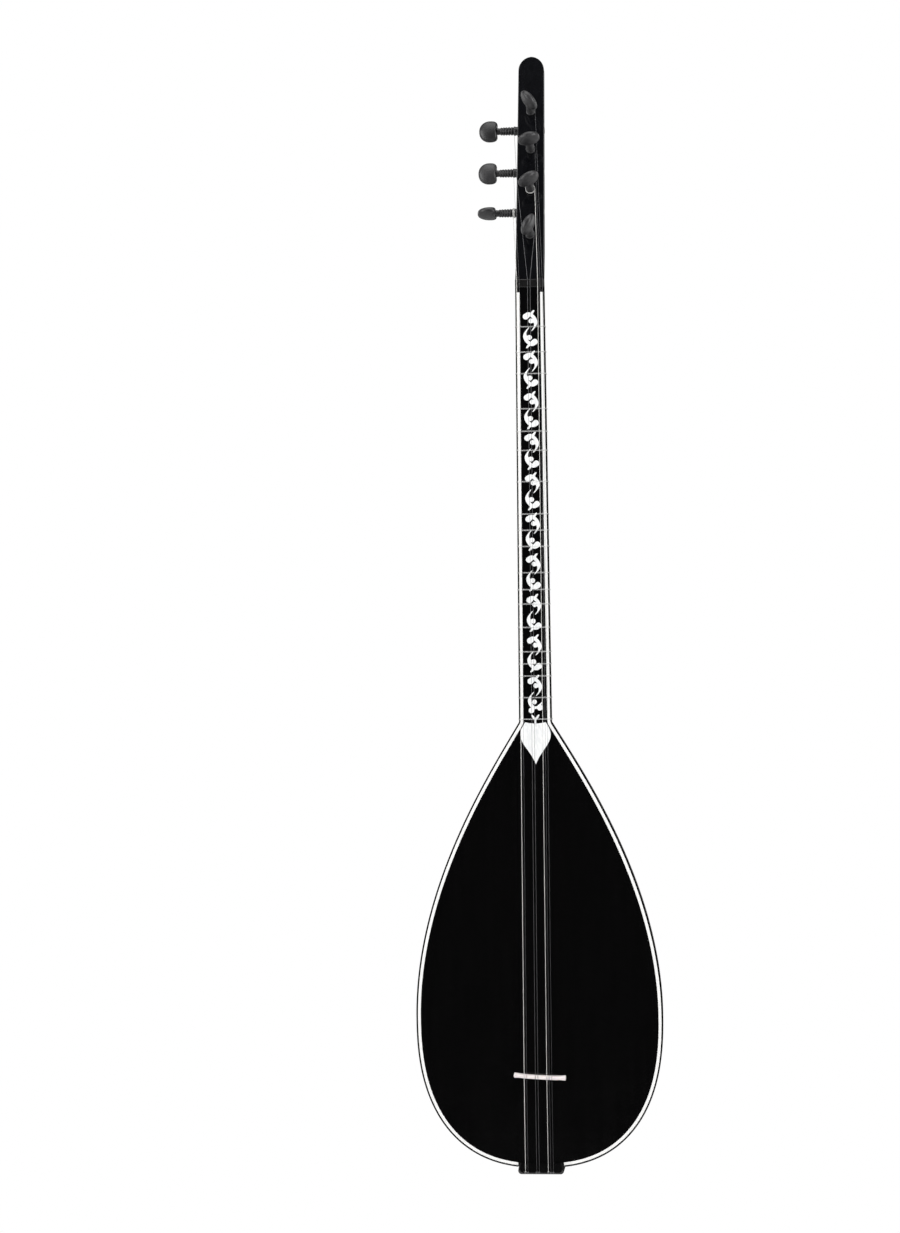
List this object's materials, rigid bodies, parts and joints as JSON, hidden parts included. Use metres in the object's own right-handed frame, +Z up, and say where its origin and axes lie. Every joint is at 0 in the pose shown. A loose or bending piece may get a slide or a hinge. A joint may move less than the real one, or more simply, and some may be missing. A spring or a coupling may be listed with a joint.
{
  "type": "baglama saz",
  "caption": "Short-necked long lute of the baglama family: pear-shaped bowl, black board with white edging, tied movable frets, friction pegs and a loose bridge.",
  "frame": {"origin": "flat end face of the tail block, on the centre line, in the plane of the board's front face", "axes": "+Z up the neck to the head, -Y out of the board's front face, +X to the treble side"},
  "size_m": [0.233, 0.1641, 1.0645],
  "materials": {
    "bowl_lacquer": "high gloss black lacquer over a carved or staved wooden bowl",
    "board_lacquer": "satin-gloss black lacquer",
    "white_binding": "white celluloid edging",
    "pearl_inlay": "white pearloid",
    "inner_wood": "bare spruce and lime",
    "neck_wood": "dark stained hardwood, satin",
    "horn_nut": "dark horn or ebony",
    "head_lacquer": "blue-black gloss lacquer",
    "peg_wood": "dark stained hardwood, fine dull grain",
    "bone": "pale pinkish bone",
    "nylon": "translucent nylon line",
    "steel": "bright plain steel",
    "wound_string": "steel core wound with fine bronze"
  },
  "bodies": {
    "instrument": {"bowl": "bowl_lacquer", "soundboard": "board_lacquer", "binding_left": "white_binding", "binding_right": "white_binding", "purfling_left": "board_lacquer", "purfling_right": "board_lacquer", "heart_inlay": "pearl_inlay", "tail_block": "board_lacquer", "tail_liner": "inner_wood", "neck_block": "inner_wood", "brace_lower": "inner_wood", "brace_upper": "inner_wood", "neck": "neck_wood", "fingerboard": "board_lacquer", "nut": "horn_nut", "headstock": "head_lacquer", "hitch_pin_1": "steel", "hitch_pin_2": "steel", "hitch_pin_3": "steel", "hitch_pin_4": "steel", "hitch_pin_5": "steel", "hitch_pin_6": "steel", "hitch_pin_7": "steel", "string_1": "wound_string", "string_2": "steel", "string_3": "steel", "string_4": "steel", "string_5": "wound_string", "string_6": "steel", "string_7": "steel"},
    "bridge": {"bridge": "bone"},
    "peg_front_1": {"peg_front_1": "peg_wood"},
    "peg_front_2": {"peg_front_2": "peg_wood"},
    "peg_front_3": {"peg_front_3": "peg_wood"},
    "peg_front_4": {"peg_front_4": "peg_wood"},
    "peg_side_1": {"peg_side_1": "peg_wood"},
    "peg_side_2": {"peg_side_2": "peg_wood"},
    "peg_side_3": {"peg_side_3": "peg_wood"},
    "fret_01": {"fret_01": "nylon"},
    "fret_02": {"fret_02": "nylon"},
    "fret_03": {"fret_03": "nylon"},
    "fret_04": {"fret_04": "nylon"},
    "fret_05": {"fret_05": "nylon"},
    "fret_06": {"fret_06": "nylon"},
    "fret_07": {"fret_07": "nylon"},
    "fret_08": {"fret_08": "nylon"},
    "fret_09": {"fret_09": "nylon"},
    "fret_10": {"fret_10": "nylon"},
    "fret_11": {"fret_11": "nylon"},
    "fret_12": {"fret_12": "nylon"},
    "fret_13": {"fret_13": "nylon"},
    "fret_14": {"fret_14": "nylon"},
    "fret_15": {"fret_15": "nylon"},
    "fret_16": {"fret_16": "nylon"},
    "fret_17": {"fret_17": "nylon"},
    "fret_18": {"fret_18": "nylon"},
    "fret_19": {"fret_19": "nylon"}
  },
  "joints": [
    {"name": "bridge_slide", "type": "slide", "parent": "instrument", "child": "bridge", "axis": [0, 0, 1], "range_m": [-0.003, 0.003]},
    {"name": "peg_front_1_turn", "type": "hinge", "parent": "instrument", "child": "peg_front_1", "pos_m": [0, 0.04756, 1.009], "axis": [0, -0.9659, 0.2588], "continuous": true},
    {"name": "peg_front_2_turn", "type": "hinge", "parent": "instrument", "child": "peg_front_2", "pos_m": [0, 0.03734, 0.97084], "axis": [0, -0.9659, 0.2588], "continuous": true},
    {"name": "peg_front_3_turn", "type": "hinge", "parent": "instrument", "child": "peg_front_3", "pos_m": [0, 0.02672, 0.93124], "axis": [0, -0.9659, 0.2588], "continuous": true},
    {"name": "peg_front_4_turn", "type": "hinge", "parent": "instrument", "child": "peg_front_4", "pos_m": [0, 0.01482, 0.88681], "axis": [0, -0.9659, 0.2588], "continuous": true},
    {"name": "peg_side_1_turn", "type": "hinge", "parent": "instrument", "child": "peg_side_1", "pos_m": [-0.0127, 0.05224, 0.99169], "axis": [-1, 0, 0], "continuous": true},
    {"name": "peg_side_2_turn", "type": "hinge", "parent": "instrument", "child": "peg_side_2", "pos_m": [-0.013, 0.04098, 0.94968], "axis": [-1, 0, 0], "continuous": true},
    {"name": "peg_side_3_turn", "type": "hinge", "parent": "instrument", "child": "peg_side_3", "pos_m": [-0.01328, 0.03037, 0.91007], "axis": [-1, 0, 0], "continuous": true},
    {"name": "fret_01_slide", "type": "slide", "parent": "instrument", "child": "fret_01", "axis": [0, 0, 1], "range_m": [-0.003, 0.003]},
    {"name": "fret_02_slide", "type": "slide", "parent": "instrument", "child": "fret_02", "axis": [0, 0, 1], "range_m": [-0.003, 0.003]},
    {"name": "fret_03_slide", "type": "slide", "parent": "instrument", "child": "fret_03", "axis": [0, 0, 1], "range_m": [-0.003, 0.003]},
    {"name": "fret_04_slide", "type": "slide", "parent": "instrument", "child": "fret_04", "axis": [0, 0, 1], "range_m": [-0.003, 0.003]},
    {"name": "fret_05_slide", "type": "slide", "parent": "instrument", "child": "fret_05", "axis": [0, 0, 1], "range_m": [-0.003, 0.003]},
    {"name": "fret_06_slide", "type": "slide", "parent": "instrument", "child": "fret_06", "axis": [0, 0, 1], "range_m": [-0.003, 0.003]},
    {"name": "fret_07_slide", "type": "slide", "parent": "instrument", "child": "fret_07", "axis": [0, 0, 1], "range_m": [-0.003, 0.003]},
    {"name": "fret_08_slide", "type": "slide", "parent": "instrument", "child": "fret_08", "axis": [0, 0, 1], "range_m": [-0.003, 0.003]},
    {"name": "fret_09_slide", "type": "slide", "parent": "instrument", "child": "fret_09", "axis": [0, 0, 1], "range_m": [-0.003, 0.003]},
    {"name": "fret_10_slide", "type": "slide", "parent": "instrument", "child": "fret_10", "axis": [0, 0, 1], "range_m": [-0.003, 0.003]},
    {"name": "fret_11_slide", "type": "slide", "parent": "instrument", "child": "fret_11", "axis": [0, 0, 1], "range_m": [-0.003, 0.003]},
    {"name": "fret_12_slide", "type": "slide", "parent": "instrument", "child": "fret_12", "axis": [0, 0, 1], "range_m": [-0.003, 0.003]},
    {"name": "fret_13_slide", "type": "slide", "parent": "instrument", "child": "fret_13", "axis": [0, 0, 1], "range_m": [-0.003, 0.003]},
    {"name": "fret_14_slide", "type": "slide", "parent": "instrument", "child": "fret_14", "axis": [0, 0, 1], "range_m": [-0.003, 0.003]},
    {"name": "fret_15_slide", "type": "slide", "parent": "instrument", "child": "fret_15", "axis": [0, 0, 1], "range_m": [-0.003, 0.003]},
    {"name": "fret_16_slide", "type": "slide", "parent": "instrument", "child": "fret_16", "axis": [0, 0, 1], "range_m": [-0.003, 0.003]},
    {"name": "fret_17_slide", "type": "slide", "parent": "instrument", "child": "fret_17", "axis": [0, 0, 1], "range_m": [-0.003, 0.003]},
    {"name": "fret_18_slide", "type": "slide", "parent": "instrument", "child": "fret_18", "axis": [0, 0, 1], "range_m": [-0.003, 0.003]},
    {"name": "fret_19_slide", "type": "slide", "parent": "instrument", "child": "fret_19", "axis": [0, 0, 1], "range_m": [-0.0005, 0.003]}
  ]
}
